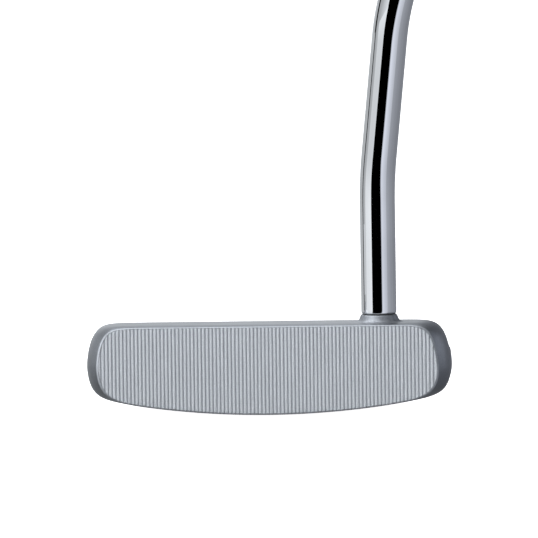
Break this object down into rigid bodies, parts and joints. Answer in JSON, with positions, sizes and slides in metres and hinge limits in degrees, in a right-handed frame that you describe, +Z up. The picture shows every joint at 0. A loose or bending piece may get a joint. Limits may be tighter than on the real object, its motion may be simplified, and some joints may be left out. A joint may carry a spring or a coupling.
{
  "type": "blade putter",
  "caption": "Golf putter with a grooved blade head, a chromed shaft with a double bend that fits over a short collar, and a tapered rubber grip.",
  "frame": {"origin": "centre of the striking face, on the face plane", "axes": "+X towards the heel, +Y towards the back of the head, +Z up; the sole is down and the shaft leans towards +X"},
  "size_m": [0.3442, 0.0533, 0.8194],
  "materials": {
    "head": "satin bead-blasted",
    "face": "milled grooves",
    "pad": "matte",
    "paint": "satin paint",
    "weights": "turned",
    "shaft": "polished",
    "epoxy": "matte",
    "tape": "matte",
    "grip": "moulded texture"
  },
  "bodies": {
    "root": {"head_body": "head", "face_insert": "face", "insert_pad": "pad", "sight_line": "paint", "toe_weight": "weights", "heel_weight": "weights", "shaft": "shaft", "shaft_epoxy": "epoxy", "grip_tape": "tape", "grip_sleeve": "grip", "grip_cap": "grip"}
  },
  "joints": []
}
